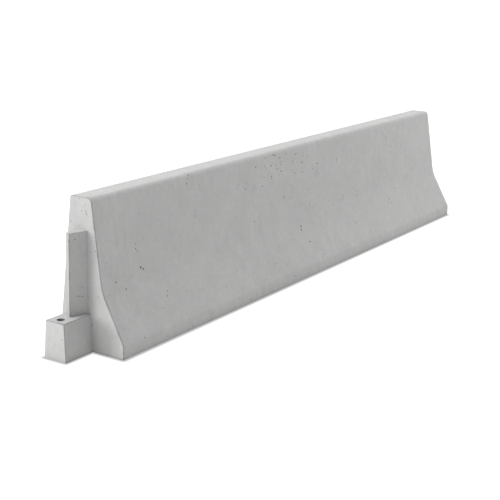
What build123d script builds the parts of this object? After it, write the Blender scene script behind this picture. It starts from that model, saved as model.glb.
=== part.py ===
"""Precast concrete road barrier unit, New Jersey profile on one side, with a tongue and foot at one
end and a matching groove and pocket at the other. Millimetres, +X along the unit, +Z up, traffic on
the -Y side. The origin is at the middle of the base."""

import os

from build123d import *

os.makedirs("parts", exist_ok=True)

# The casting
body_length = 4000
height = 810
base_width = 432
top_width = 140
toe_height = 75
break_height = 330
break_setback = 140  # from the toe face back to the slope break
top_setback = 210  # from the toe face back to the top's front edge
break_radius = 220
toe_radius = 25
top_front_radius = 24
top_back_radius = 16
toe_base_radius = 8
back_base_radius = 3
end_radius = 6

# The tongue and foot at the -X end
key_setback = 280  # from the toe face back to the centre line of both
foot_reach = 200
foot_height = 202
foot_base_width = 146
foot_top_width = 124
foot_radius = 4
tongue_reach = 100
tongue_top = 638
tongue_root_width = 88
tongue_tip_width = 22
tongue_radius = 4
hole_radius = 20
hole_setback = 45  # from the foot's end face
sleeve_wall = 2

# The groove and pocket at the +X end, with the room that lets the next unit drop in
joint_gap = 10
end_room = 20
side_room = 13
top_room = 13
groove_side_room = 6
groove_end_room = 15

# Coupling steel
dowel_radius = 16
dowel_drop = 120
shank_radius = 13  # the dowel above its shoulder, through the plate
shank_length = 85
tip_chamfer = 6
plate_length = 76
plate_width = 120
plate_thickness = 12
stud_radius = 6
stud_length = 80
stud_head_radius = 10
stud_head_height = 8
stud_spacing_x = 50
stud_spacing_y = 84

# Reinforcement
stirrup_depth = 45  # concrete face to the centre of the bar
stirrup_radius = 5
stirrup_bend = 20
stirrup_count = 17
stirrup_pitch = 230
bar_depth = 62
bar_radius = 6
bar_end_cover = 40
link_radius = 4
link_depth = 28
link_foot = 30
link_places = (-190, -115, -50)  # from the +X end face
hairpin_radius = 4
tongue_hairpin_heights = (250, 350, 450, 550)
tongue_hairpin_bend = 12
tongue_hairpin_nose = 57  # from the tongue's tip to the middle of the bend
tongue_hairpin_tail = 300
upright_foot = 230
upright_top = 610
upright_inner_place = 25  # from the -X end face
foot_hairpin_heights = (70, 140)
foot_hairpin_bend = 31
foot_hairpin_tail = 340
foot_link_places = (85, 145)  # from the foot's end face
foot_link_width = 82
foot_link_base = 30
foot_link_top = 172
foot_link_bend = 12
groove_hairpin_heights = (360, 460, 560)
groove_hairpin_half_width = 52
groove_hairpin_bend = 30
groove_hairpin_nose = 160  # from the +X end face
groove_hairpin_tail = 30
spacer_radius = 42
spacer_thickness = 12
spaced_stirrups = (2, 5, 8, 11, 14)  # counted from the -X end, from 0
spacer_shares = ((0, 0.5), (1, 0.45), (3, 0.3), (4, 0.35))  # side of the cage, and how far along it

# Places that follow from these
toe_y = -base_width / 2
back_y = base_width / 2
break_y = toe_y + break_setback
top_front_y = toe_y + top_setback
top_back_y = top_front_y + top_width
key_y = toe_y + key_setback
near_end = (foot_reach - body_length) / 2
far_end = near_end + body_length
foot_end = near_end - foot_reach
tongue_end = near_end - tongue_reach
hole_x = foot_end + hole_setback
pocket_length = foot_reach - joint_gap + end_room
pocket_width = foot_base_width + 2 * side_room
pocket_height = foot_height + top_room
groove_length = tongue_reach - joint_gap + groove_end_room
groove_top = tongue_top + top_room
groove_mouth_width = tongue_root_width + 2 * groove_side_room
groove_tip_width = tongue_tip_width + 2 * groove_side_room
dowel_x = far_end + joint_gap - foot_reach + hole_setback
plate_top = pocket_height + plate_thickness
hairpin_tail_x = near_end + tongue_hairpin_tail

profile = [
    (toe_y, 0),
    (toe_y, toe_height),
    (break_y, break_height),
    (top_front_y, height),
    (top_back_y, height),
    (back_y, 0),
]
profile_radii = [
    toe_base_radius,
    toe_radius,
    break_radius,
    top_front_radius,
    top_back_radius,
    back_base_radius,
]
slope_foot_y = break_y - break_setback * break_height / (break_height - toe_height)
cage = [(slope_foot_y, 0)] + profile[2:]  # the cage cuts straight across the toe


def inset(corners, depth):
    """The corners of an outline listed clockwise, moved inwards until its sides lie depth deeper."""
    points = [Vector(y, z) for y, z in corners]
    moved = []
    for n, corner in enumerate(points):
        arriving = (corner - points[n - 1]).normalized().rotate(Axis.Z, -90)
        leaving = (points[(n + 1) % len(points)] - corner).normalized().rotate(Axis.Z, -90)
        moved.append(corner + (arriving + leaving) * (depth / (1 + arriving.dot(leaving))))
    return [(point.X, point.Y) for point in moved]


def bar_plane(line):
    """The plane square to a bar at its start."""
    return Plane(line @ 0, z_dir=line % 0)


def back_face_y(z):
    return back_y + (top_back_y - back_y) * z / height


# Lining tube of the hole in the foot
with BuildPart() as foot_hole_sleeve:
    with BuildSketch():
        with Locations((hole_x, key_y)):
            Circle(hole_radius + sleeve_wall)
            Circle(hole_radius, mode=Mode.SUBTRACT)
    extrude(amount=foot_height)

# Dowel that hangs in the pocket, its shoulder under the plate, and the plate and studs that hold it
with BuildPart() as coupling_dowel:
    with BuildSketch(Plane.XY.offset(pocket_height - dowel_drop)):
        with Locations((dowel_x, key_y)):
            Circle(dowel_radius)
    extrude(amount=dowel_drop)
    with BuildSketch(Plane.XY.offset(pocket_height)):
        with Locations((dowel_x, key_y)):
            Circle(shank_radius)
    extrude(amount=shank_length)
    chamfer(coupling_dowel.edges().group_by(Axis.Z)[0], length=tip_chamfer, length2=tip_chamfer / 2)

with BuildPart() as dowel_anchor_plate:
    with BuildSketch(Plane.XY.offset(pocket_height)):
        with Locations((dowel_x, key_y)):
            Rectangle(plate_length, plate_width)
            Circle(shank_radius, mode=Mode.SUBTRACT)
    extrude(amount=plate_thickness)

with BuildPart() as dowel_anchor_studs:
    with BuildSketch(Plane.XY.offset(plate_top)):
        with Locations((dowel_x, key_y)):
            with GridLocations(stud_spacing_x, stud_spacing_y, 2, 2):
                Circle(stud_radius)
    extrude(amount=stud_length - stud_head_height)
    with BuildSketch(Plane.XY.offset(plate_top + stud_length - stud_head_height)):
        with Locations((dowel_x, key_y)):
            with GridLocations(stud_spacing_x, stud_spacing_y, 2, 2):
                Circle(stud_head_radius)
    extrude(amount=stud_head_height)

# Long bars, one in each corner of the cage, at the slope break and in the middle of the base
low_front, break_corner, high_front, high_back, low_back = inset(cage, bar_depth)
bar_start = near_end + bar_end_cover
bar_end = far_end - bar_end_cover
short_bar_end = far_end - pocket_length - bar_end_cover

with BuildPart() as top_bars:
    with BuildSketch(Plane.YZ.offset(bar_start)):
        with Locations(high_front, high_back):
            Circle(bar_radius)
    extrude(amount=bar_end - bar_start)

with BuildPart() as web_bars:
    with BuildSketch(Plane.YZ.offset(bar_start)):
        with Locations(break_corner, (back_face_y(break_height) - bar_depth, break_height)):
            Circle(bar_radius)
    extrude(amount=bar_end - bar_start)

with BuildPart() as base_bars:
    with BuildSketch(Plane.YZ.offset(bar_start)):
        with Locations(low_front, (0, bar_depth), low_back):
            Circle(bar_radius)
    extrude(amount=short_bar_end - bar_start)

# Closed stirrups round the long bars
stirrup_places = [(n - (stirrup_count - 1) / 2) * stirrup_pitch for n in range(stirrup_count)]

with BuildPart() as stirrup:
    with BuildLine(Plane.YZ) as stirrup_line:
        FilletPolyline(*inset(cage, stirrup_depth), radius=stirrup_bend, close=True)
    with BuildSketch(bar_plane(stirrup_line.line)):
        Circle(stirrup_radius)
    sweep(path=stirrup_line.line)

with BuildPart() as stirrups:
    with Locations(*[(place, 0, 0) for place in stirrup_places]):
        add(stirrup.part)

# Links over the pocket, open at the bottom
with BuildPart() as end_link:
    corners = inset(profile, link_depth)
    feet = [(corners[0][0], link_foot), *corners[1:]]
    with BuildLine(Plane.YZ) as link_line:
        FilletPolyline(*feet, radius=stirrup_bend)
    with BuildSketch(bar_plane(link_line.line)):
        Circle(link_radius)
    sweep(path=link_line.line)

with BuildPart() as end_links:
    with Locations(*[(far_end + place, 0, 0) for place in link_places]):
        add(end_link.part)


# Hairpins that tie the tongue to the body, and the uprights inside their bends
tongue_nose = tongue_end + tongue_hairpin_nose - tongue_hairpin_bend

with BuildPart() as tongue_hairpin:
    with BuildLine() as hairpin_line:
        FilletPolyline(
            (hairpin_tail_x, key_y - tongue_hairpin_bend),
            (tongue_nose, key_y - tongue_hairpin_bend),
            (tongue_nose, key_y + tongue_hairpin_bend),
            (hairpin_tail_x, key_y + tongue_hairpin_bend),
            radius=tongue_hairpin_bend * 0.98,
        )
    with BuildSketch(bar_plane(hairpin_line.line)):
        Circle(hairpin_radius)
    sweep(path=hairpin_line.line)

with BuildPart() as tongue_hairpins:
    with Locations(*[(0, 0, z) for z in tongue_hairpin_heights]):
        add(tongue_hairpin.part)

with BuildPart() as tongue_uprights:
    with BuildSketch(Plane.XY.offset(upright_foot)):
        with Locations((tongue_end + tongue_hairpin_nose, key_y), (near_end + upright_inner_place, key_y)):
            Circle(hairpin_radius)
    extrude(amount=upright_top - upright_foot)

# Hairpins round the foot's hole, and the upright links behind it
foot_tail_x = near_end + foot_hairpin_tail

with BuildPart() as foot_hairpin:
    with BuildLine() as foot_line:
        front_leg = Line((foot_tail_x, key_y - foot_hairpin_bend), (hole_x, key_y - foot_hairpin_bend))
        TangentArc(front_leg @ 1, (hole_x, key_y + foot_hairpin_bend), tangent=front_leg % 1)
        Line((hole_x, key_y + foot_hairpin_bend), (foot_tail_x, key_y + foot_hairpin_bend))
    with BuildSketch(bar_plane(foot_line.line)):
        Circle(hairpin_radius)
    sweep(path=foot_line.line)

with BuildPart() as foot_hairpins:
    with Locations(*[(0, 0, z) for z in foot_hairpin_heights]):
        add(foot_hairpin.part)

with BuildPart() as foot_link:
    with BuildLine(Plane.YZ) as foot_link_line:
        FilletPolyline(
            (key_y - foot_link_width / 2, foot_link_base),
            (key_y - foot_link_width / 2, foot_link_top),
            (key_y + foot_link_width / 2, foot_link_top),
            (key_y + foot_link_width / 2, foot_link_base),
            radius=foot_link_bend,
            close=True,
        )
    with BuildSketch(bar_plane(foot_link_line.line)):
        Circle(link_radius)
    sweep(path=foot_link_line.line)

with BuildPart() as foot_links:
    with Locations(*[(foot_end + place, 0, 0) for place in foot_link_places]):
        add(foot_link.part)

# Hairpins round the closed end of the groove, their legs in its two cheeks
with BuildPart() as groove_hairpin:
    with BuildLine() as groove_line:
        FilletPolyline(
            (far_end - groove_hairpin_tail, key_y - groove_hairpin_half_width),
            (far_end - groove_hairpin_nose, key_y - groove_hairpin_half_width),
            (far_end - groove_hairpin_nose, key_y + groove_hairpin_half_width),
            (far_end - groove_hairpin_tail, key_y + groove_hairpin_half_width),
            radius=groove_hairpin_bend,
        )
    with BuildSketch(bar_plane(groove_line.line)):
        Circle(hairpin_radius)
    sweep(path=groove_line.line)

with BuildPart() as groove_hairpins:
    with Locations(*[(0, 0, z) for z in groove_hairpin_heights]):
        add(groove_hairpin.part)

# Wheel spacers clipped on some of the stirrups, square to the bar
stirrup_corners = inset(cage, stirrup_depth)

with BuildPart() as spacer_wheels:
    for side, share in spacer_shares:
        start = Vector(0, *stirrup_corners[side])
        end = Vector(0, *stirrup_corners[(side + 1) % len(stirrup_corners)])
        along = (end - start).normalized()
        for n in spaced_stirrups:
            centre = start + (end - start) * share + Vector(stirrup_places[n], 0, 0)
            with BuildSketch(Plane(centre, z_dir=along)):
                Circle(spacer_radius)
                Circle(stirrup_radius, mode=Mode.SUBTRACT)
            extrude(amount=spacer_thickness / 2, both=True)

# The casting: profile, foot and tongue in one, less its groove, pocket, hole and everything cast in
cast_in = {
    "foot_hole_sleeve": foot_hole_sleeve,
    "dowel_anchor_plate": dowel_anchor_plate,
    "dowel_anchor_studs": dowel_anchor_studs,
    "coupling_dowel": coupling_dowel,
    "top_bars": top_bars,
    "web_bars": web_bars,
    "base_bars": base_bars,
    "spacer_wheels": spacer_wheels,
    "stirrups": stirrups,
    "end_links": end_links,
    "tongue_hairpins": tongue_hairpins,
    "tongue_uprights": tongue_uprights,
    "foot_hairpins": foot_hairpins,
    "foot_links": foot_links,
    "groove_hairpins": groove_hairpins,
}

with BuildPart() as concrete_body:
    with BuildSketch(Plane.YZ.offset(near_end)) as outline:
        with BuildLine():
            Polyline(*profile, close=True)
        make_face()
        for corner, radius in zip(profile, profile_radii):
            fillet(outline.vertices().sort_by_distance(corner)[0], radius)
    extrude(amount=body_length)
    near_face, far_face = concrete_body.faces().filter_by(Axis.X).sort_by(Axis.X)
    fillet(near_face.edges() + far_face.edges(), radius=end_radius)

    # Foot, its two long sides leaning in, sunk a little into the end face
    foot_centre = (foot_end + near_end + end_radius) / 2
    with BuildSketch():
        with Locations((foot_centre, key_y)):
            Rectangle(foot_reach + end_radius, foot_base_width)
    with BuildSketch(Plane.XY.offset(foot_height)):
        with Locations((foot_centre, key_y)):
            Rectangle(foot_reach + end_radius, foot_top_width)
    loft()
    foot_front = concrete_body.faces().filter_by(Axis.X).sort_by(Axis.X)[0]
    fillet(foot_front.edges(), radius=foot_radius)

    # Tongue standing on the foot
    with BuildSketch(Plane.XY.offset(foot_height)):
        with BuildLine():
            Polyline(
                (near_end + end_radius, key_y - tongue_root_width / 2),
                (near_end, key_y - tongue_root_width / 2),
                (tongue_end, key_y - tongue_tip_width / 2),
                (tongue_end, key_y + tongue_tip_width / 2),
                (near_end, key_y + tongue_root_width / 2),
                (near_end + end_radius, key_y + tongue_root_width / 2),
                close=True,
            )
        make_face()
    extrude(amount=tongue_top - foot_height)
    tongue_tip = concrete_body.faces().filter_by(Axis.X).group_by(Axis.X)[1]
    fillet(tongue_tip.edges().filter_by(Axis.Z), radius=tongue_radius)

    # Groove for the next unit's tongue, open to the pocket for its foot
    with BuildSketch(Plane.XY.offset(pocket_height)):
        with BuildLine():
            Polyline(
                (far_end, key_y - groove_mouth_width / 2),
                (far_end - groove_length, key_y - groove_tip_width / 2),
                (far_end - groove_length, key_y + groove_tip_width / 2),
                (far_end, key_y + groove_mouth_width / 2),
                close=True,
            )
        make_face()
    extrude(amount=groove_top - pocket_height, mode=Mode.SUBTRACT)
    with BuildSketch():
        with Locations((far_end - pocket_length / 2, key_y)):
            Rectangle(pocket_length, pocket_width)
    extrude(amount=pocket_height, mode=Mode.SUBTRACT)

    with BuildSketch():
        with Locations((hole_x, key_y)):
            Circle(hole_radius + sleeve_wall)
    extrude(amount=foot_height, mode=Mode.SUBTRACT)
    for piece in cast_in.values():
        add(piece.part, mode=Mode.SUBTRACT)

for name, piece in {"concrete_body": concrete_body, **cast_in}.items():
    piece.part.label = name
    export_step(piece.part, f"parts/{name}.step")
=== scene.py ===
import math
import random

import bmesh
import bpy
from mathutils import Matrix, Vector


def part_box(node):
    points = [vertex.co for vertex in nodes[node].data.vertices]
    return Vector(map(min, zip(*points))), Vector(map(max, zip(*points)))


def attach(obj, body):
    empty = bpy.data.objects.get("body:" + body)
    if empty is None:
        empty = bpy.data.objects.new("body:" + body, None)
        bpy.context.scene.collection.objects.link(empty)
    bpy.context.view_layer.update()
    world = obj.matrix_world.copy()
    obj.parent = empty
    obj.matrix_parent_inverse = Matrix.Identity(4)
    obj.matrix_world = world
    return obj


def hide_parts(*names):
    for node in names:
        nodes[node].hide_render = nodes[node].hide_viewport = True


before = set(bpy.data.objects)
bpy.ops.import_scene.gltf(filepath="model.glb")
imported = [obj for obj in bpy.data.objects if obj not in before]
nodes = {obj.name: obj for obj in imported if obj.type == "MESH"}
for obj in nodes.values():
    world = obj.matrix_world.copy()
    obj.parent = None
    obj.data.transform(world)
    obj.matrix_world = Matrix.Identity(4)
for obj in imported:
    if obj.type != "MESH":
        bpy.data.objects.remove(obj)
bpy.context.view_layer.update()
scene = bpy.context.scene
nearlyZero = 1e-4


# Small helpers for working by hand in edit mode

def deselectAll():
    if bpy.context.mode != "OBJECT":
        bpy.ops.object.mode_set(mode="OBJECT")
    bpy.ops.object.select_all(action="DESELECT")


def activate(piece):
    deselectAll()
    piece.select_set(True)
    bpy.context.view_layer.objects.active = piece


def openForEditing(piece):
    activate(piece)
    bpy.ops.object.mode_set(mode="EDIT")


def pick(piece, kind, test):
    # selects the VERT, EDGE or FACE elements for which test is true, and says how many
    bpy.ops.mesh.select_mode(type=kind)
    bpy.ops.mesh.select_all(action="DESELECT")
    form = bmesh.from_edit_mesh(piece.data)
    form.normal_update()
    elements = {"VERT": form.verts, "EDGE": form.edges, "FACE": form.faces}[kind]
    chosen = [element for element in elements if test(element)]
    for element in chosen:
        element.select_set(True)
    form.select_flush_mode()
    bmesh.update_edit_mesh(piece.data)
    return len(chosen)


def near(a, b, reach=nearlyZero):
    return abs(a - b) < reach


def edgeAlongX(edge):
    a, b = edge.verts
    return near(a.co.y, b.co.y) and near(a.co.z, b.co.z) and not near(a.co.x, b.co.x)


def edgeAt(edge, y, z, reach=1e-3):
    # true where both ends of the edge lie at that height and depth
    return all(near(v.co.y, y, reach) and near(v.co.z, z, reach) for v in edge.verts)


def facesAlongX(face):
    return abs(face.normal.x) > 0.9


def addBlock(name, low, high):
    deselectAll()
    low, high = Vector(low), Vector(high)
    bpy.ops.mesh.primitive_cube_add(size=1, location=(low + high) / 2)
    block = bpy.context.object
    block.name = name
    block.scale = high - low
    bpy.ops.object.transform_apply(location=True, rotation=True, scale=True)
    block.data.materials.append(finishes["concrete"])
    return block


def bevelEdges(piece, test, width, segments, finish=None):
    # rounds the edges, and gives the new faces a finish of their own where one is named
    slot = -1
    if finish:
        if finish.name not in piece.data.materials:
            piece.data.materials.append(finish)
        slot = piece.data.materials.find(finish.name)
    if pick(piece, "EDGE", test):
        bpy.ops.mesh.bevel(
            offset=width, segments=segments, affect="EDGES", clamp_overlap=False, material=slot
        )


def divideLongEdges(piece, test, longest):
    # halves the chosen edges until none is longer than longest
    while pick(piece, "EDGE", lambda edge: test(edge) and edge.calc_length() > longest):
        bpy.ops.mesh.subdivide(number_cuts=1)


def combine(piece, tool, operation):
    activate(piece)
    join = piece.modifiers.new(operation.lower(), "BOOLEAN")
    join.object = tool
    join.operation = operation
    join.solver = "MANIFOLD"
    join.material_mode = "TRANSFER"
    bpy.ops.object.modifier_apply(modifier=join.name)
    bpy.data.objects.remove(tool)


def joinPieces(pieces, name):
    deselectAll()
    for piece in pieces:
        piece.select_set(True)
    bpy.context.view_layer.objects.active = pieces[0]
    bpy.ops.object.join()
    joined = bpy.context.object
    joined.name = name
    return joined


# The casting, shaped from a block. Heights and setbacks are the design's own. A round is how far
# it reaches along each face, and the top's front one is a little wider than the design's.

casting = {
    "toeHeight": 0.075,
    "breakHeight": 0.330,
    "breakSetback": 0.140,
    "topSetback": 0.210,
    "topWidth": 0.140,
    "breakRound": 0.0397,
    "toeRound": 0.0064,
    "toeBaseRound": 0.008,
    "backBaseRound": 0.003,
    "topFrontRound": 0.025,
    "topBackRound": 0.0145,
    "arris": 0.005,
    "keySetback": 0.280,
    "footReach": 0.200,
    "footHeight": 0.202,
    "footBaseWidth": 0.146,
    "footTopWidth": 0.124,
    "tongueReach": 0.100,
    "tongueTop": 0.638,
    "tongueRoot": 0.088,
    "tongueTip": 0.022,
    "edgeRound": 0.004,
    "station": 0.0325,  # longest stretch of an edge along the unit, and of one across it
    "strip": 0.04,
    "waviness": 0.0006,
    "waveSize": 0.16,
    "stillHeight": 0.012,  # below this the skin stays flat
    "smoothAngle": 30,
}

bodyLow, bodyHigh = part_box("concrete_body")
toeY, backY, topZ = bodyLow.y, -bodyLow.y, bodyHigh.z
farX = bodyHigh.x
nearX = bodyLow.x + casting["footReach"]
breakY = toeY + casting["breakSetback"]
topFrontY = toeY + casting["topSetback"]
topBackY = topFrontY + casting["topWidth"]
keyY = toeY + casting["keySetback"]
footSpan = (
    bodyLow.x, nearX, keyY - casting["footBaseWidth"] / 2, keyY + casting["footBaseWidth"] / 2
)

# Camera

camera = {
    "azimuth": -56.64,
    "elevation": 10.07,
    "roll": 0.94,
    "distance": 6.4355,
    "target": (-0.7748, -0.216, 0.9226),
    "lens": 81.02,
    "shiftY": -0.2,
}


def addCamera():
    azimuth, elevation = math.radians(camera["azimuth"]), math.radians(camera["elevation"])
    back = Vector((
        math.sin(azimuth) * math.cos(elevation),
        -math.cos(azimuth) * math.cos(elevation),
        math.sin(elevation),
    ))
    view = bpy.data.objects.new("camera", bpy.data.cameras.new("camera"))
    scene.collection.objects.link(view)
    view.location = Vector(camera["target"]) + back * camera["distance"]
    view.rotation_mode = "QUATERNION"
    turn = (-back).to_track_quat("-Z", "Y").to_matrix().to_4x4()
    turn = turn @ Matrix.Rotation(math.radians(camera["roll"]), 4, "Z")
    view.rotation_quaternion = turn.to_quaternion()
    view.data.lens = camera["lens"]
    view.data.shift_y = camera["shiftY"]
    scene.camera = view


addCamera()
print("camera placed")

# Light and floor

studio = {
    "world": 0.445,
    "backdrop": 1.0,
    "target": (-1.0, 0.0, 0.4),
    "distance": 20.0,
    "size": 9.2,
    # name, degrees round from the near end toward the back, degrees up, watts
    "lamps": (
        ("low", 40, 12, 2550.0),
        ("key", 26, 42, 1150.0),
        ("side", 76, 50, 1650.0),
        ("top", 0, 88, 1050.0),
        ("rear", 180, 62, 1100.0),
    ),
    "fillFrom": (5.0, -4.0, 2.2),
    "fillAt": (1.5, 0.0, 0.4),
    "fillSize": 3.0,
    "fillPower": 90.0,
    "floorSize": 400.0,
    "floorColour": (0.08, 0.08, 0.08, 1.0),
    "floorGlow": 1.14,
    # painted contact shadow: beside the unit the floor's glow falls to this share, over this reach
    "paintedShadowShare": 0.37,  # of the floor's glow, right beside the unit
    "paintedShadowReach": 0.035,
}


def addAreaLight(name, place, target, size, power):
    light = bpy.data.lights.new(name, "AREA")
    light.shape = "DISK"
    light.size = size
    light.energy = power
    lamp = bpy.data.objects.new(name, light)
    scene.collection.objects.link(lamp)
    lamp.location = place
    lamp.rotation_mode = "QUATERNION"
    lamp.rotation_quaternion = (Vector(target) - Vector(place)).to_track_quat("-Z", "Y")


def addStudio():
    world = bpy.data.worlds.new("studio")
    world.use_nodes = True
    tree = world.node_tree
    background = tree.nodes["Background"]
    background.inputs["Color"].default_value = (1, 1, 1, 1)
    # the backdrop looks white, and lights the unit more gently than it looks
    path = tree.nodes.new("ShaderNodeLightPath")
    strength = tree.nodes.new("ShaderNodeMapRange")
    strength.inputs["To Min"].default_value = studio["world"]
    strength.inputs["To Max"].default_value = studio["backdrop"]
    tree.links.new(path.outputs["Is Camera Ray"], strength.inputs["Value"])
    tree.links.new(strength.outputs["Result"], background.inputs["Strength"])
    scene.world = world
    target = Vector(studio["target"])
    for name, around, up, power in studio["lamps"]:
        around, up = math.radians(around), math.radians(up)
        outward = Vector((-math.cos(around) * math.cos(up), math.sin(around) * math.cos(up), math.sin(up)))
        addAreaLight(name, target + outward * studio["distance"], target, studio["size"], power)
    addAreaLight("fill", studio["fillFrom"], studio["fillAt"], studio["fillSize"], studio["fillPower"])
    scene.view_settings.view_transform = "Standard"


addStudio()
print("studio lit")

# Shared shader node groups. Each puts out a mask or a height that materials mix as they need.


class NodeBench:
    # lays nodes out in a tree and links them by socket name

    def __init__(self, tree):
        self.tree = tree
        self.column = 0

    def add(self, kind, settings=None, **sockets):
        node = self.tree.nodes.new(kind)
        node.location = (self.column * 190, 0)
        self.column += 1
        for name, value in (settings or {}).items():
            setattr(node, name, value)
        for name, value in sockets.items():
            self.feed(node.inputs[name.replace("_", " ")], value)
        return node

    def feed(self, socket, value):
        if isinstance(value, bpy.types.NodeSocket):
            self.tree.links.new(value, socket)
        else:
            socket.default_value = value

    def math(self, operation, a, b=0.0, clamp=False):
        node = self.add("ShaderNodeMath", {"operation": operation, "use_clamp": clamp})
        self.feed(node.inputs[0], a)
        self.feed(node.inputs[1], b)
        return node.outputs[0]

    def ramp(self, value, low, high, lowTo=0.0, highTo=1.0, smooth=False):
        node = self.add("ShaderNodeMapRange", {"interpolation_type": "SMOOTHSTEP" if smooth else "LINEAR"})
        self.feed(node.inputs["Value"], value)
        node.inputs["From Min"].default_value = low
        node.inputs["From Max"].default_value = high
        node.inputs["To Min"].default_value = lowTo
        node.inputs["To Max"].default_value = highTo
        return node.outputs["Result"]

    def noise(self, coordinates, scale, detail=3.0, roughness=0.5):
        node = self.add("ShaderNodeTexNoise", Scale=scale, Detail=detail, Roughness=roughness)
        self.feed(node.inputs["Vector"], coordinates)
        return node.outputs["Fac"]

    def stretch(self, coordinates, scale):
        node = self.add("ShaderNodeMapping", Scale=scale)
        self.feed(node.inputs["Vector"], coordinates)
        return node.outputs["Vector"]

    def mixColour(self, share, a, b):
        node = self.add("ShaderNodeMix", {"data_type": "RGBA", "blend_type": "MIX"})
        self.feed(node.inputs[0], share)
        self.feed(node.inputs[6], a)
        self.feed(node.inputs[7], b)
        return node.outputs[2]

    def shade(self, colour, tone):
        # a colour made darker or lighter by a tone centred on one
        node = self.add("ShaderNodeVectorMath", {"operation": "SCALE"})
        self.feed(node.inputs[0], colour)
        self.feed(node.inputs["Scale"], tone)
        return node.outputs[0]


def newGroup(name, inputs, outputs):
    group = bpy.data.node_groups.new(name, "ShaderNodeTree")
    for label, kind, value in inputs:
        socket = group.interface.new_socket(name=label, in_out="INPUT", socket_type=kind)
        if value is not None:
            socket.default_value = value
    for label, kind in outputs:
        group.interface.new_socket(name=label, in_out="OUTPUT", socket_type=kind)
    entry = group.nodes.new("NodeGroupInput")
    leave = group.nodes.new("NodeGroupOutput")
    entry.location = (-250, 0)
    leave.location = (2600, 0)
    return group, NodeBench(group), entry, leave


def buildCloudGroup():
    # soft blotches of four sizes, centred on one
    group, bench, entry, leave = newGroup(
        "cementClouds",
        [("Coordinates", "NodeSocketVector", None), ("Strength", "NodeSocketFloat", 0.1)],
        [("Tone", "NodeSocketFloat")],
    )
    place = entry.outputs["Coordinates"]
    total = 0.0
    sizes = ((2.4, 2.0, 0.30), (9.0, 3.0, 0.50), (30.0, 4.0, 0.60), (85.0, 4.0, 0.55))
    for scale, detail, share in sizes:
        blotches = bench.ramp(bench.noise(place, scale, detail, 0.6), 0.3, 0.7, -share, share)
        total = bench.math("ADD", blotches, total)
    tone = bench.math("ADD", bench.math("MULTIPLY", total, entry.outputs["Strength"]), 1.0)
    bench.feed(leave.inputs["Tone"], tone)
    return group


def buildStreakGroup():
    # upright streaks left by form oil and rising air, centred on one
    group, bench, entry, leave = newGroup(
        "formStreaks",
        [("Coordinates", "NodeSocketVector", None), ("Strength", "NodeSocketFloat", 0.05)],
        [("Tone", "NodeSocketFloat")],
    )
    drawn = bench.stretch(entry.outputs["Coordinates"], (26.0, 26.0, 1.6))
    fine = bench.stretch(entry.outputs["Coordinates"], (90.0, 90.0, 5.0))
    lines = bench.ramp(bench.noise(drawn, 1.0, 3.0), 0.3, 0.7, -1.0, 1.0)
    hairs = bench.ramp(bench.noise(fine, 1.0, 2.0), 0.3, 0.7, -1.0, 1.0)
    patches = bench.ramp(bench.noise(entry.outputs["Coordinates"], 3.1, 2.0), 0.42, 0.62)
    both = bench.math("ADD", bench.math("MULTIPLY", lines, 0.65), bench.math("MULTIPLY", hairs, 0.35))
    both = bench.math("MULTIPLY", both, patches)
    tone = bench.math("ADD", bench.math("MULTIPLY", both, entry.outputs["Strength"]), 1.0)
    bench.feed(leave.inputs["Tone"], tone)
    return group


def buildPinholeGroup():
    # pores too small to model: a mask of their mouths, and a height that sinks in them
    group, bench, entry, leave = newGroup(
        "pinholes",
        [
            ("Coordinates", "NodeSocketVector", None),
            ("Scale", "NodeSocketFloat", 120.0),
            ("Share", "NodeSocketFloat", 0.2),
        ],
        [("Mask", "NodeSocketFloat"), ("Height", "NodeSocketFloat")],
    )
    cells = bench.add("ShaderNodeTexVoronoi", {"feature": "F1"}, Randomness=1.0)
    bench.feed(cells.inputs["Vector"], entry.outputs["Coordinates"])
    bench.feed(cells.inputs["Scale"], entry.outputs["Scale"])
    chance = bench.add("ShaderNodeSeparateColor")
    bench.feed(chance.inputs["Color"], cells.outputs["Color"])
    # a cell has a pore if its red falls under the share, and its green sets how wide
    chosen = bench.math("LESS_THAN", chance.outputs["Red"], entry.outputs["Share"])
    mouth = bench.math("MULTIPLY", chance.outputs["Green"], 0.22)
    inside = bench.math("SUBTRACT", mouth, cells.outputs["Distance"])
    depth = bench.ramp(inside, 0.0, 0.12, smooth=True)
    mask = bench.math("MULTIPLY", depth, chosen)
    bench.feed(leave.inputs["Mask"], mask)
    bench.feed(leave.inputs["Height"], bench.math("MULTIPLY", mask, -1.0))
    return group


def buildGrainGroup():
    # sand and cement skin: a fine height and a faint speckle
    group, bench, entry, leave = newGroup(
        "sandGrain",
        [("Coordinates", "NodeSocketVector", None), ("Scale", "NodeSocketFloat", 700.0)],
        [("Height", "NodeSocketFloat"), ("Speckle", "NodeSocketFloat")],
    )
    coarse = bench.add("ShaderNodeTexNoise", Detail=4.0, Roughness=0.65)
    bench.feed(coarse.inputs["Vector"], entry.outputs["Coordinates"])
    bench.feed(coarse.inputs["Scale"], entry.outputs["Scale"])
    ripple = bench.noise(entry.outputs["Coordinates"], 55.0, 3.0)
    height = bench.math("ADD", coarse.outputs["Fac"], bench.math("MULTIPLY", ripple, 1.6))
    bench.feed(leave.inputs["Height"], height)
    bench.feed(leave.inputs["Speckle"], bench.ramp(coarse.outputs["Fac"], 0.3, 0.7, -1.0, 1.0))
    return group


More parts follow.
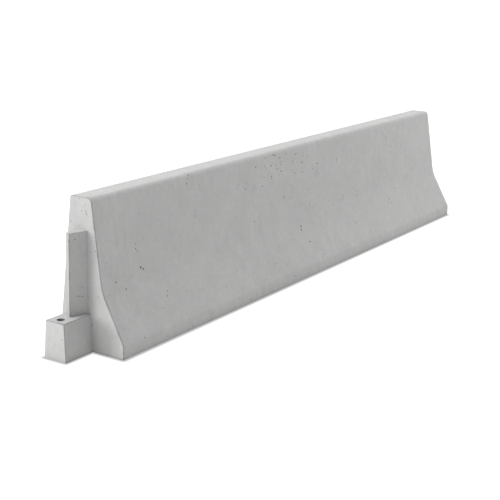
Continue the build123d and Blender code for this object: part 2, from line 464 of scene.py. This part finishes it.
def buildLowShadeGroup():
    # painted shade that gathers low down by the floor, ragged at its top, fading out over a given height
    group, bench, entry, leave = newGroup(
        "lowPaintedShade",
        [("Coordinates", "NodeSocketVector", None), ("Reach", "NodeSocketFloat", 0.08)],
        [("Mask", "NodeSocketFloat")],
    )
    axes = bench.add("ShaderNodeSeparateXYZ")
    bench.feed(axes.inputs["Vector"], entry.outputs["Coordinates"])
    ragged = bench.ramp(bench.noise(entry.outputs["Coordinates"], 14.0, 4.0, 0.6), 0.3, 0.7, 0.35, 1.4)
    reach = bench.math("MULTIPLY", ragged, entry.outputs["Reach"])
    share = bench.math("DIVIDE", axes.outputs["Z"], reach)
    mask = bench.math("SUBTRACT", 1.0, share, clamp=True)
    bench.feed(leave.inputs["Mask"], mask)
    return group


groups = {
    "clouds": buildCloudGroup(),
    "streaks": buildStreakGroup(),
    "pinholes": buildPinholeGroup(),
    "grain": buildGrainGroup(),
    "lowShade": buildLowShadeGroup(),
}
print("shader groups built")


def newMaterial(name):
    material = bpy.data.materials.new(name)
    material.use_nodes = True
    tree = material.node_tree
    bench = NodeBench(tree)
    place = bench.add("ShaderNodeTexCoord").outputs["Object"]
    shader = tree.nodes["Principled BSDF"]
    shader.location = (3200, 0)
    tree.nodes["Material Output"].location = (3500, 0)
    return material, bench, place, shader


def useGroup(bench, name, place, **sockets):
    node = bench.add("ShaderNodeGroup", {"node_tree": groups[name]})
    bench.feed(node.inputs["Coordinates"], place)
    for label, value in sockets.items():
        bench.feed(node.inputs[label], value)
    return node


def addBump(bench, shader, height, distance):
    bump = bench.add("ShaderNodeBump", Strength=1.0, Distance=distance)
    bench.feed(bump.inputs["Height"], height)
    bench.feed(shader.inputs["Normal"], bump.outputs["Normal"])


def addFloor():
    # a dark sheet that glows, so that it looks pale and only a line of contact shows round the unit, where
    # its glow is dimmed as a painted contact shadow
    deselectAll()
    bpy.ops.mesh.primitive_plane_add(size=studio["floorSize"], location=(0, 0, 0))
    floor = bpy.context.object
    floor.name = "floor"
    paint, bench, place, shader = newMaterial("floorPaint")
    shader.inputs["Base Color"].default_value = studio["floorColour"]
    shader.inputs["Roughness"].default_value = 1.0
    shader.inputs["Specular IOR Level"].default_value = 0.0
    axes = bench.add("ShaderNodeSeparateXYZ")
    bench.feed(axes.inputs["Vector"], place)
    nearest = studio["floorSize"]
    for startX, endX, startY, endY in ((nearX, farX, toeY, backY), footSpan):
        outside = []
        for axis, low, high in (("X", startX, endX), ("Y", startY, endY)):
            offset = bench.math("ABSOLUTE", bench.math("SUBTRACT", axes.outputs[axis], (low + high) / 2))
            beyond = bench.math("MAXIMUM", bench.math("SUBTRACT", offset, (high - low) / 2), 0.0)
            outside.append(bench.math("POWER", beyond, 2.0))
        distance = bench.math("SQRT", bench.math("ADD", *outside))
        nearest = bench.math("MINIMUM", distance, nearest)
    # painted contact shadow: the glow fades toward the unit's footprint
    glowWithPaintedShadow = bench.ramp(nearest, 0.0, studio["paintedShadowReach"], studio["paintedShadowShare"], 1.0, smooth=True)
    bench.feed(shader.inputs["Emission Color"], glowWithPaintedShadow)
    shader.inputs["Emission Strength"].default_value = studio["floorGlow"]
    floor.data.materials.append(paint)


addFloor()
print("floor laid")

# Looks of the concrete

concreteLook = {
    "paste": (0.405, 0.405, 0.402, 1.0),
    # painted shade inside the air holes: the pit colour is darker than the paste
    "pit": (0.20, 0.199, 0.195, 1.0),
    "broken": (0.30, 0.297, 0.288, 1.0),
    # painted shade along the rounded arrises, a dark line at the edges
    "arris": (0.275, 0.274, 0.270, 1.0),
    # painted shade near the floor, darker towards the bottom
    "lowShadeColour": (0.30, 0.298, 0.29, 1.0),
    "roughness": (0.78, 0.92),
    "clouds": 0.055,
    "streaks": 0.055,
    "pinholeShare": 0.10,
    "pinholeScale": 95.0,
    "paintedPoreShade": 0.55,
    "grainScale": 700.0,
    "grainHeight": 0.0005,
    "grainShare": 0.25,
    "speckle": 0.018,
    # reach and strength of the painted shade near the floor
    "lowShadeReach": 0.09,
    "lowShadeStrength": 0.3,
    "rawSpeckle": 0.16,
    "rawHeight": 0.0012,
    "rawRoughness": 0.95,
    "stainSeed": 7,
    "stainCount": 3,
    "stainSpan": (-0.5, 1.0),  # along the unit
    "stainHeights": (0.5, 0.78),
    "stainReach": (0.04, 0.06),
    "stainDepth": (0.05, 0.12),
}


def stainSpots():
    # faint blotches on the steep part of the traffic face
    draw = random.Random(concreteLook["stainSeed"])
    rise = topZ - casting["breakHeight"]
    spots = []
    for _ in range(concreteLook["stainCount"]):
        x, z = draw.uniform(*concreteLook["stainSpan"]), draw.uniform(*concreteLook["stainHeights"])
        y = breakY + (topFrontY - breakY) * (z - casting["breakHeight"]) / rise
        reach, depth = draw.uniform(*concreteLook["stainReach"]), draw.uniform(*concreteLook["stainDepth"])
        spots.append(((x, y, z), reach, depth))
    return spots


def oilStains(bench, place):
    # a few ragged darker spots where form oil pooled, as a tone to multiply by
    tone = 1.0
    ragged = bench.ramp(bench.noise(place, 60.0, 4.0, 0.65), 0.35, 0.65, -0.5, 0.5)
    for spot, reach, depth in stainSpots():
        apart = bench.add("ShaderNodeVectorMath", {"operation": "DISTANCE"})
        bench.feed(apart.inputs[0], place)
        apart.inputs[1].default_value = spot
        share = bench.math("DIVIDE", apart.outputs["Value"], reach)
        ring = bench.ramp(bench.math("ADD", share, ragged), 0.3, 1.0, 1.0 - depth, 1.0, smooth=True)
        tone = bench.math("MULTIPLY", ring, tone)
    return tone


def paintConcrete():
    look = concreteLook
    material, bench, place, shader = newMaterial("castConcrete")
    clouds = useGroup(bench, "clouds", place, Strength=look["clouds"]).outputs["Tone"]
    streaks = useGroup(bench, "streaks", place, Strength=look["streaks"]).outputs["Tone"]
    grain = useGroup(bench, "grain", place, Scale=look["grainScale"])
    pores = useGroup(bench, "pinholes", place, Scale=look["pinholeScale"], Share=look["pinholeShare"])
    lowShade = useGroup(bench, "lowShade", place, Reach=look["lowShadeReach"])
    tone = bench.math("MULTIPLY", clouds, streaks)
    speckle = bench.math("ADD", bench.math("MULTIPLY", grain.outputs["Speckle"], look["speckle"]), 1.0)
    tone = bench.math("MULTIPLY", bench.math("MULTIPLY", tone, speckle), oilStains(bench, place))
    # painted shade: the skin darkens toward the floor
    lowShadeShare = bench.math("MULTIPLY", lowShade.outputs["Mask"], look["lowShadeStrength"])
    colour = bench.mixColour(lowShadeShare, look["paste"], look["lowShadeColour"])
    # painted shade in the pores too small to model: their mouths darken toward the pit colour
    poreShadeShare = bench.math("MULTIPLY", pores.outputs["Mask"], look["paintedPoreShade"])
    colour = bench.mixColour(poreShadeShare, colour, look["pit"])
    bench.feed(shader.inputs["Base Color"], bench.shade(colour, tone))
    smooth, rough = look["roughness"]
    bench.feed(shader.inputs["Roughness"], bench.ramp(clouds, 0.94, 1.06, rough, smooth))
    shader.inputs["Specular IOR Level"].default_value = 0.3
    sand = bench.math("MULTIPLY", grain.outputs["Height"], look["grainShare"])
    addBump(bench, shader, bench.math("ADD", sand, pores.outputs["Height"]), look["grainHeight"])
    return material


def paintRawOrShadedConcrete(name, colour, scale, freshShare=0.0):
    # the inside of a pit or a chip, or a rounded arris, with the sand showing, in places as fresh as the
    # skin around it; its darker colour is broken concrete in a chip, and painted shade in a pit or along
    # an arris
    material, bench, place, shader = newMaterial(name)
    grain = useGroup(bench, "grain", place, Scale=scale)
    speckle = bench.math("MULTIPLY", grain.outputs["Speckle"], concreteLook["rawSpeckle"])
    tone = bench.math("ADD", speckle, 1.0)
    patches = bench.ramp(bench.noise(place, 9.0, 3.0, 0.6), 0.35, 0.65, 0.0, freshShare)
    mixed = bench.mixColour(patches, colour, concreteLook["paste"])
    bench.feed(shader.inputs["Base Color"], bench.shade(mixed, tone))
    shader.inputs["Roughness"].default_value = concreteLook["rawRoughness"]
    shader.inputs["Specular IOR Level"].default_value = 0.15
    addBump(bench, shader, grain.outputs["Height"], concreteLook["rawHeight"])
    return material


finishes = {
    "concrete": paintConcrete(),
    # the pit and arris finishes carry painted shade; the broken one is the colour of chipped concrete
    "pit": paintRawOrShadedConcrete("shadedPitConcrete", concreteLook["pit"], 420.0),
    "broken": paintRawOrShadedConcrete("brokenConcrete", concreteLook["broken"], 300.0),
    "arris": paintRawOrShadedConcrete("shadedArrisConcrete", concreteLook["arris"], 500.0, 0.45),
}
print("concrete painted")


# The unit's outer shape

def shapeBody():
    body = addBlock("castBody", (nearX, toeY, 0), (farX, backY, topZ))
    openForEditing(body)
    pick(body, "VERT", lambda v: near(v.co.z, topZ) and v.co.y < 0)
    bpy.ops.transform.translate(value=(0, topFrontY - toeY, 0))
    pick(body, "VERT", lambda v: near(v.co.z, topZ) and v.co.y > backY - nearlyZero)
    bpy.ops.transform.translate(value=(0, topBackY - backY, 0))
    creases = ((casting["toeHeight"], toeY), (casting["breakHeight"], breakY))
    for height, y in creases:
        bpy.ops.mesh.select_all(action="SELECT")
        bpy.ops.mesh.bisect(plane_co=(0, 0, height), plane_no=(0, 0, 1))
    for height, y in creases:
        slantY = toeY + casting["topSetback"] * height / topZ
        pick(body, "VERT", lambda v: near(v.co.z, height) and near(v.co.y, slantY, 0.001))
        bpy.ops.transform.translate(value=(0, y - slantY, 0))
    longEdges = (
        (breakY, casting["breakHeight"], casting["breakRound"], 8),
        (toeY, casting["toeHeight"], casting["toeRound"], 3),
        (toeY, 0, casting["toeBaseRound"], 4),
        (backY, 0, casting["backBaseRound"], 2),
        (topFrontY, topZ, casting["topFrontRound"], 8),
        (topBackY, topZ, casting["topBackRound"], 6),
    )
    for y, z, width, segments in longEdges:
        bevelEdges(body, lambda edge: edgeAlongX(edge) and edgeAt(edge, y, z), width, segments)
    divideLongEdges(body, edgeAlongX, casting["station"])
    divideLongEdges(body, lambda edge: not edgeAlongX(edge), casting["strip"])
    # the end arrises are rounded and take the arris finish, painted shade along the edges
    bevelEdges(
        body,
        lambda edge: any(facesAlongX(face) for face in edge.link_faces)
        and any(abs(face.normal.x) < 0.1 for face in edge.link_faces),
        casting["arris"],
        3,
        finishes["arris"],
    )
    bpy.ops.object.mode_set(mode="OBJECT")
    return body


body = shapeBody()
print("body shaped", len(body.data.vertices))


def shapeFoot():
    # reaches into the body, so that the union leaves no seam between them
    overlap = 0.05
    half = casting["footBaseWidth"] / 2
    low = (bodyLow.x, keyY - half, 0)
    high = (nearX + overlap, keyY + half, casting["footHeight"])
    foot = addBlock("castFoot", low, high)
    openForEditing(foot)
    pick(foot, "VERT", lambda v: v.co.z > nearlyZero)
    bpy.ops.transform.resize(
        value=(1, casting["footTopWidth"] / casting["footBaseWidth"], 1), center_override=(0, keyY, 0)
    )
    # the rounded edges take the arris finish, painted shade
    bevelEdges(
        foot,
        lambda edge: any(v.co.z > nearlyZero for v in edge.verts)
        and (edgeAlongX(edge) or all(near(v.co.x, bodyLow.x) for v in edge.verts)),
        casting["edgeRound"],
        3,
        finishes["arris"],
    )
    bpy.ops.object.mode_set(mode="OBJECT")
    return foot


def shapeTongue():
    # reaches into the body and a little way down into the foot
    overlap, sunk = 0.05, 0.004
    tipX, rootX = nearX - casting["tongueReach"], nearX + overlap
    low = (tipX, keyY - casting["tongueRoot"] / 2, casting["footHeight"] - sunk)
    high = (nearX, keyY + casting["tongueRoot"] / 2, casting["tongueTop"])
    tongue = addBlock("castTongue", low, high)
    openForEditing(tongue)
    pick(tongue, "VERT", lambda v: near(v.co.x, tipX))
    bpy.ops.transform.resize(
        value=(1, casting["tongueTip"] / casting["tongueRoot"], 1), center_override=(0, keyY, 0)
    )
    # the rounded edges take the arris finish, painted shade
    bevelEdges(
        tongue,
        lambda edge: all(near(v.co.x, tipX) for v in edge.verts)
        and not near(*[v.co.z for v in edge.verts]),
        casting["edgeRound"],
        3,
        finishes["arris"],
    )
    bevelEdges(
        tongue,
        lambda edge: all(near(v.co.z, casting["tongueTop"]) for v in edge.verts)
        and not all(near(v.co.x, nearX) for v in edge.verts),
        casting["edgeRound"] / 2,
        2,
        finishes["arris"],
    )
    pick(tongue, "FACE", lambda face: face.normal.x > 0.9)
    bpy.ops.mesh.extrude_region_move(TRANSFORM_OT_translate={"value": (overlap, 0, 0)})
    bpy.ops.object.mode_set(mode="OBJECT")
    return tongue


# Room for the next unit's foot, tongue and dowel, cut from the far end

farEnd = {
    "pocketLength": 0.210,
    "pocketWidth": 0.172,
    "pocketHeight": 0.215,
    "grooveLength": 0.105,
    "grooveTop": 0.651,
    "grooveMouth": 0.100,
    "grooveInner": 0.034,
    "holeRadius": 0.022,
    "holeSides": 48,
    "plateRoom": 0.0008,
    "mouthRound": 0.003,
}


def cutPocket(body):
    half, spare = farEnd["pocketWidth"] / 2, 0.05
    pocket = addBlock(
        "pocketTool",
        (farX - farEnd["pocketLength"], keyY - half, -spare),
        (farX + spare, keyY + half, farEnd["pocketHeight"]),
    )
    combine(body, pocket, "DIFFERENCE")


def cutGroove(body):
    # tapers to the ratio of its inner end at the depth of the groove, and runs on past the mouth
    half, spare = farEnd["grooveMouth"] / 2, 0.05
    innerX = farX - farEnd["grooveLength"]
    groove = addBlock(
        "grooveTool",
        (innerX, keyY - half, farEnd["pocketHeight"] - spare),
        (farX, keyY + half, farEnd["grooveTop"]),
    )
    openForEditing(groove)
    pick(groove, "VERT", lambda v: near(v.co.x, innerX))
    bpy.ops.transform.resize(
        value=(1, farEnd["grooveInner"] / farEnd["grooveMouth"], 1), center_override=(0, keyY, 0)
    )
    pick(groove, "FACE", lambda face: face.normal.x > 0.9)
    bpy.ops.mesh.extrude_region_move(TRANSFORM_OT_translate={"value": (spare, 0, 0)})
    bpy.ops.object.mode_set(mode="OBJECT")
    combine(body, groove, "DIFFERENCE")


def cutPlateRecess(body):
    low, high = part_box("dowel_anchor_plate")
    room = Vector([farEnd["plateRoom"]] * 3)
    recess = addBlock("recessTool", low - room, high + room)
    combine(body, recess, "DIFFERENCE")


def cutPinHole(body):
    low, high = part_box("foot_hole_sleeve")
    middle = (low + high) / 2
    deselectAll()
    bpy.ops.mesh.primitive_cylinder_add(
        vertices=farEnd["holeSides"],
        radius=farEnd["holeRadius"],
        depth=2 * (high.z - low.z),
        location=middle,
    )
    drill = bpy.context.object
    drill.data.materials.append(finishes["concrete"])
    combine(body, drill, "DIFFERENCE")


def roundMouths(body):
    slack = 0.002
    openForEditing(body)
    pick(
        body,
        "EDGE",
        lambda edge: all(near(v.co.x, farX) for v in edge.verts)
        and any(facesAlongX(face) for face in edge.link_faces)
        and any(abs(face.normal.x) < 0.7 for face in edge.link_faces)
        and all(abs(v.co.y - keyY) < farEnd["pocketWidth"] / 2 + slack for v in edge.verts)
        and all(v.co.z < farEnd["grooveTop"] + slack for v in edge.verts),
    )
    bpy.ops.mesh.bevel(offset=farEnd["mouthRound"], segments=2, affect="EDGES", clamp_overlap=False)
    bpy.ops.object.mode_set(mode="OBJECT")


combine(body, shapeFoot(), "UNION")
combine(body, shapeTongue(), "UNION")
cutPocket(body)
cutGroove(body)
roundMouths(body)
cutPlateRecess(body)
cutPinHole(body)
print("foot, tongue, pocket and groove made", len(body.data.vertices))


# Air holes and knocked arrises, cut into the skin

skin = {
    "seed": 29,
    "pitSpacing": 1.3,
    "pitDepth": (0.35, 0.8),
    "pitStretch": (0.7, 1.4),
    "pitFamily": 0.4,
    "familyReach": 0.022,
    "pitRise": 0.08,  # of its radius, how far a pit's middle stands out of the skin
    "pitBias": 2.2,  # small holes are far more common than large ones
    "steepest": 0.3,
    "pitUnevenness": 0.16,
    "chipUnevenness": 0.3,
    "chipLength": (0.006, 0.022),
    "chipDepth": (0.0010, 0.0030),
    "chipBreadth": (1.8, 0.35),  # of its depth and of its length, whichever is more
    "chipStray": 0.03,
}
dice = random.Random(skin["seed"])
frontward, backward, upward = Vector((0, -1, 0)), Vector((0, 1, 0)), Vector((0, 0, 1))
nearward, farward = Vector((-1, 0, 0)), Vector((1, 0, 0))

# spans that stop short of the arrises
nearIn, farIn = nearX + 0.02, farX - 0.02
footIn, footOut = bodyLow.x + 0.01, nearX - 0.01
tongueX = nearX - casting["tongueReach"]
tongueHalf = casting["tongueTip"] / 2
footTop = casting["footHeight"]
footHalf, footTopHalf = casting["footBaseWidth"] / 2, casting["footTopWidth"] / 2
pocketHalf, grooveHalf = farEnd["pocketWidth"] / 2, farEnd["grooveMouth"] / 2

# where air holes gather: the side they open to, the span of their places, how many, their radii
pitFields = (
    (frontward, (-0.40, 0, 0.65), (0.40, 0, 0.79), 8, (0.0055, 0.0065)),
    (frontward, (-0.25, 0, 0.10), (0.75, 0, 0.42), 4, (0.0065, 0.0080)),
    (frontward, (nearIn, 0, 0.30), (-1.30, 0, 0.60), 3, (0.0055, 0.0070)),
    (frontward, (1.00, 0, 0.20), (1.60, 0, 0.40), 1, (0.0055, 0.0065)),
    (nearward, (0, 0.00, 0.10), (0, 0.10, 0.75), 5, (0.0036, 0.0060)),
    (frontward, (-0.47, 0, 0.42), (0.34, 0, 0.79), 42, (0.0022, 0.0055)),
    (frontward, (-0.45, 0, 0.60), (0.12, 0, 0.79), 22, (0.0022, 0.0052)),
    (frontward, (nearIn, 0, 0.34), (-0.45, 0, 0.79), 44, (0.0018, 0.0048)),
    (frontward, (0.40, 0, 0.34), (farIn, 0, 0.79), 46, (0.0018, 0.0048)),
    (frontward, (nearIn, 0, 0.09), (farIn, 0, 0.33), 52, (0.0018, 0.0048)),
    (frontward, (nearIn, 0, 0.012), (farIn, 0, 0.07), 36, (0.0018, 0.0040)),
    (backward, (nearIn, 0, 0.05), (farIn, 0, 0.79), 130, (0.0018, 0.0060)),
    (upward, (nearIn, 0.01, 0), (farIn, 0.12, 0), 40, (0.0015, 0.0035)),
    (nearward, (0, -0.06, 0.04), (0, 0.15, 0.79), 26, (0.0016, 0.0042)),
    (nearward, (0, 0.00, 0.645), (0, 0.13, 0.80), 26, (0.0014, 0.0030)),
    (farward, (0, -0.19, 0.02), (0, 0.17, 0.79), 34, (0.0018, 0.0045)),
    (frontward, (footIn, 0, 0.02), (footOut, 0, 0.62), 14, (0.0015, 0.0032)),
    (backward, (footIn, 0, 0.02), (footOut, 0, 0.62), 12, (0.0015, 0.0032)),
)

# arrises that take knocks: their two ends, the way they point, how many chips
chippedArrises = (
    ((nearX, toeY, 0.01), (nearX, toeY, 0.07), (-1, -1, 0), 3),
    ((nearX, toeY, 0.08), (nearX, breakY, 0.32), (-1, -1, 0.6), 5),
    ((nearX, breakY, 0.34), (nearX, topFrontY, 0.78), (-1, -1, 0), 7),
    ((nearX, backY, 0.02), (nearX, topBackY, 0.80), (-1, 1, 0), 14),
    ((nearX, topFrontY, topZ), (nearX, topBackY, topZ), (-1, 0, 1), 4),
    ((farX, toeY, 0.01), (farX, toeY, 0.07), (1, -1, 0), 3),
    ((farX, toeY, 0.08), (farX, breakY, 0.32), (1, -1, 0.6), 4),
    ((farX, breakY, 0.34), (farX, topFrontY, 0.78), (1, -1, 0), 6),
    ((farX, backY, 0.02), (farX, topBackY, 0.80), (1, 1, 0), 8),
    ((farX, topFrontY, topZ), (farX, topBackY, topZ), (1, 0, 1), 3),
    ((nearX, toeY, 0), (farX, toeY, 0), (0, -1, -1), 12),
    ((nearX, backY, 0), (farX, backY, 0), (0, 1, -1), 14),
    ((nearX, topBackY, topZ), (farX, topBackY, topZ), (0, 1, 1), 9),
    ((bodyLow.x, keyY - footHalf, 0.02), (bodyLow.x, keyY - 0.063, 0.19), (-1, -1, 0), 4),
    ((bodyLow.x, keyY + footHalf, 0.02), (bodyLow.x, keyY + 0.063, 0.19), (-1, 1, 0), 3),
    ((bodyLow.x, keyY - 0.055, footTop), (bodyLow.x, keyY + 0.055, footTop), (-1, 0, 1), 4),
    ((footIn, keyY - footTopHalf, footTop), (footOut, keyY - footTopHalf, footTop), (0, -1, 1), 4),
    ((tongueX, keyY - tongueHalf, 0.22), (tongueX, keyY - tongueHalf, 0.63), (-1, -0.6, 0), 5),
    ((tongueX, keyY + tongueHalf, 0.22), (tongueX, keyY + tongueHalf, 0.63), (-1, 0.6, 0), 5),
    ((farX, keyY - pocketHalf, 0.02), (farX, keyY - pocketHalf, 0.20), (1, 1, 0), 3),
    ((farX, keyY - grooveHalf, 0.24), (farX, keyY - grooveHalf, 0.63), (1, 1, 0), 4),
)


def makeLumps(subdivisions, offset, count, material):
    # uneven pebbles of one metre radius, whose copies are the cutters
    lumps = []
    for index in range(count):
        deselectAll()
        bpy.ops.mesh.primitive_ico_sphere_add(subdivisions=subdivisions, radius=1, location=(0, 0, 0))
        lump = bpy.context.object
        openForEditing(lump)
        bpy.ops.mesh.select_all(action="SELECT")
        seed = skin["seed"] + index
        bpy.ops.transform.vertex_random(offset=offset, uniform=0.6, normal=0.7, seed=seed)
        bpy.ops.object.mode_set(mode="OBJECT")
        lump.data.materials.append(material)
        lumps.append(lump)
    return lumps


def placeLump(lump, centre, outward, radii, spin):
    copy = lump.copy()
    copy.data = lump.data.copy()
    scene.collection.objects.link(copy)
    turn = outward.to_track_quat("Z", "X").to_matrix().to_4x4()
    size = Matrix.Diagonal((radii[0], radii[1], radii[2], 1))
    copy.matrix_world = Matrix.Translation(centre) @ turn @ Matrix.Rotation(spin, 4, "Z") @ size
    return copy


def cutLumps(piece, copies, lumps, name):
    deselectAll()
    for copy in copies:
        copy.select_set(True)
    bpy.context.view_layer.objects.active = copies[0]
    bpy.ops.object.transform_apply(location=True, rotation=True, scale=True)
    combine(piece, joinPieces(copies, name), "DIFFERENCE")
    for lump in lumps:
        bpy.data.objects.remove(lump)


def findSkin(piece, point, outward):
    # the outermost point of the piece under a point, looking along a side
    start = Vector(point) + outward * 3
    hit, place, normal, _ = piece.ray_cast(start, -outward)
    return (place, normal) if hit else (None, None)


def freePlace(place, reach, taken):
    return all((place - other).length > (reach + room) * skin["pitSpacing"] for other, room in taken)


def pitSkin(piece):
    # the cut pits take the pit finish, painted shade in their hollows
    lumps = makeLumps(2, skin["pitUnevenness"], 4, finishes["pit"])
    taken, copies = [], []

    def addPit(point, outward, radius):
        place, normal = findSkin(piece, point, outward)
        if place is None or normal.dot(outward) < skin["steepest"]:
            return
        if not freePlace(place, radius, taken):
            return
        taken.append((place, radius))
        stretch, depth = dice.uniform(*skin["pitStretch"]), dice.uniform(*skin["pitDepth"])
        radii = (radius * stretch, radius / stretch, radius * depth)
        lump = dice.choice(lumps)
        middle = place + normal * radius * skin["pitRise"]
        copies.append(placeLump(lump, middle, normal, radii, dice.uniform(0, math.tau)))

    for outward, low, high, count, (smallest, largest) in pitFields:
        point = None
        for _ in range(count):
            if point and dice.random() < skin["pitFamily"]:
                point = [a + dice.uniform(-1, 1) * skin["familyReach"] for a in point]
            else:
                point = [dice.uniform(a, b) for a, b in zip(low, high)]
            addPit(point, outward, smallest + (largest - smallest) * dice.random() ** skin["pitBias"])
    cutLumps(piece, copies, lumps, "pitTool")
    return len(copies)


def chipArrises(piece):
    byDepth, byLength = skin["chipBreadth"]
    lumps = makeLumps(1, skin["chipUnevenness"], 4, finishes["broken"])
    taken, copies = [], []
    for start, end, outward, count in chippedArrises:
        start, end, outward = Vector(start), Vector(end), Vector(outward).normalized()
        along = (end - start).normalized()
        side = along.cross(outward).normalized()
        for _ in range(count):
            point = start.lerp(end, dice.random())
            length, depth = dice.uniform(*skin["chipLength"]), dice.uniform(*skin["chipDepth"])
            place, normal = findSkin(piece, point, outward)
            if place is None or (place - point).length > skin["chipStray"]:
                continue
            if not freePlace(place, length, taken):
                continue
            taken.append((place, length))
            breadth = max(depth * byDepth, length * byLength)
            turn = Matrix((along, side, outward)).transposed().to_4x4()
            copy = placeLump(dice.choice(lumps), Vector(), upward, (1, 1, 1), 0)
            size = Matrix.Diagonal((length, breadth, breadth, 1))
            copy.matrix_world = Matrix.Translation(place + outward * (breadth - depth)) @ turn @ size
            copies.append(copy)
    cutLumps(piece, copies, lumps, "chipTool")
    return len(copies)


def weather(piece):
    # the skin is never quite flat; the base stays down on the floor
    raised = [v.index for v in piece.data.vertices if v.co.z > casting["stillHeight"]]
    piece.vertex_groups.new(name="skin").add(raised, 1.0, "REPLACE")
    texture = bpy.data.textures.new("formUnevenness", "CLOUDS")
    texture.noise_scale = casting["waveSize"]
    wave = piece.modifiers.new("unevenness", "DISPLACE")
    wave.texture = texture
    wave.texture_coords = "LOCAL"
    wave.strength = casting["waviness"]
    wave.vertex_group = "skin"
    activate(piece)
    bpy.ops.object.modifier_apply(modifier=wave.name)


def smoothShade(piece):
    activate(piece)
    bpy.ops.object.shade_smooth_by_angle(angle=math.radians(casting["smoothAngle"]))
    weigh = piece.modifiers.new("weighted", "WEIGHTED_NORMAL")
    weigh.keep_sharp = True
    bpy.ops.object.modifier_apply(modifier=weigh.name)


weather(body)
print("chips", chipArrises(body))
print("pits", pitSkin(body))
smoothShade(body)
body.name = "concreteBody"
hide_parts("concrete_body")
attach(body, "root")
print("skin finished", len(body.data.polygons))


# Looks of the pieces taken over from the design


def paintMetal(name, colour, spotColour, roughness, spotScale, metallic, relief):
    # metal with crystals or scale showing in its surface
    material, bench, place, shader = newMaterial(name)
    clouds = useGroup(bench, "clouds", place, Strength=0.25).outputs["Tone"]
    spots = bench.ramp(bench.noise(place, spotScale, 4.0, 0.6), 0.42, 0.62)
    colour = bench.mixColour(spots, colour, spotColour)
    bench.feed(shader.inputs["Base Color"], bench.shade(colour, clouds))
    bench.feed(shader.inputs["Roughness"], bench.ramp(spots, 0.0, 1.0, *roughness))
    bench.feed(shader.inputs["Metallic"], bench.ramp(spots, 0.0, 1.0, *metallic))
    grain = useGroup(bench, "grain", place, Scale=spotScale * 8)
    addBump(bench, shader, grain.outputs["Height"], relief)
    return material


def paintPlastic(name, colour, dustColour, dust):
    material, bench, place, shader = newMaterial(name)
    marks = bench.ramp(bench.noise(place, 45.0, 5.0, 0.65), 0.4, 0.7, 0.0, dust)
    bench.feed(shader.inputs["Base Color"], bench.mixColour(marks, colour, dustColour))
    bench.feed(shader.inputs["Roughness"], bench.ramp(marks, 0.0, 1.0, 0.45, 0.9))
    grain = useGroup(bench, "grain", place, Scale=900.0)
    addBump(bench, shader, grain.outputs["Height"], 0.0002)
    return material


galvanised = paintMetal(
    "galvanisedSteel",
    colour=(0.50, 0.51, 0.52, 1),
    spotColour=(0.58, 0.59, 0.60, 1),
    roughness=(0.50, 0.42),
    spotScale=150.0,
    metallic=(0.9, 1.0),
    relief=0.0002,
)
hotRolled = paintMetal(
    "rolledBarSteel",
    colour=(0.13, 0.10, 0.085, 1),
    spotColour=(0.23, 0.105, 0.05, 1),
    roughness=(0.6, 0.9),
    spotScale=60.0,
    metallic=(0.75, 0.1),
    relief=0.0006,
)
sleevePlastic = paintPlastic("sleevePlastic", (0.16, 0.16, 0.165, 1), (0.36, 0.355, 0.34, 1), 0.8)
spacerPlastic = paintPlastic("spacerPlastic", (0.09, 0.09, 0.095, 1), (0.30, 0.30, 0.29, 1), 0.3)

finishOfNode = {
    "foot_hole_sleeve": sleevePlastic,
    "spacer_wheels": spacerPlastic,
    "coupling_dowel": galvanised,
    "dowel_anchor_plate": galvanised,
    "dowel_anchor_studs": galvanised,
}


def paintDesignNodes():
    for name, piece in nodes.items():
        if name == "concrete_body" or piece.type != "MESH":
            continue
        piece.data.materials.clear()
        piece.data.materials.append(finishOfNode.get(name, hotRolled))


paintDesignNodes()
print("design pieces painted")
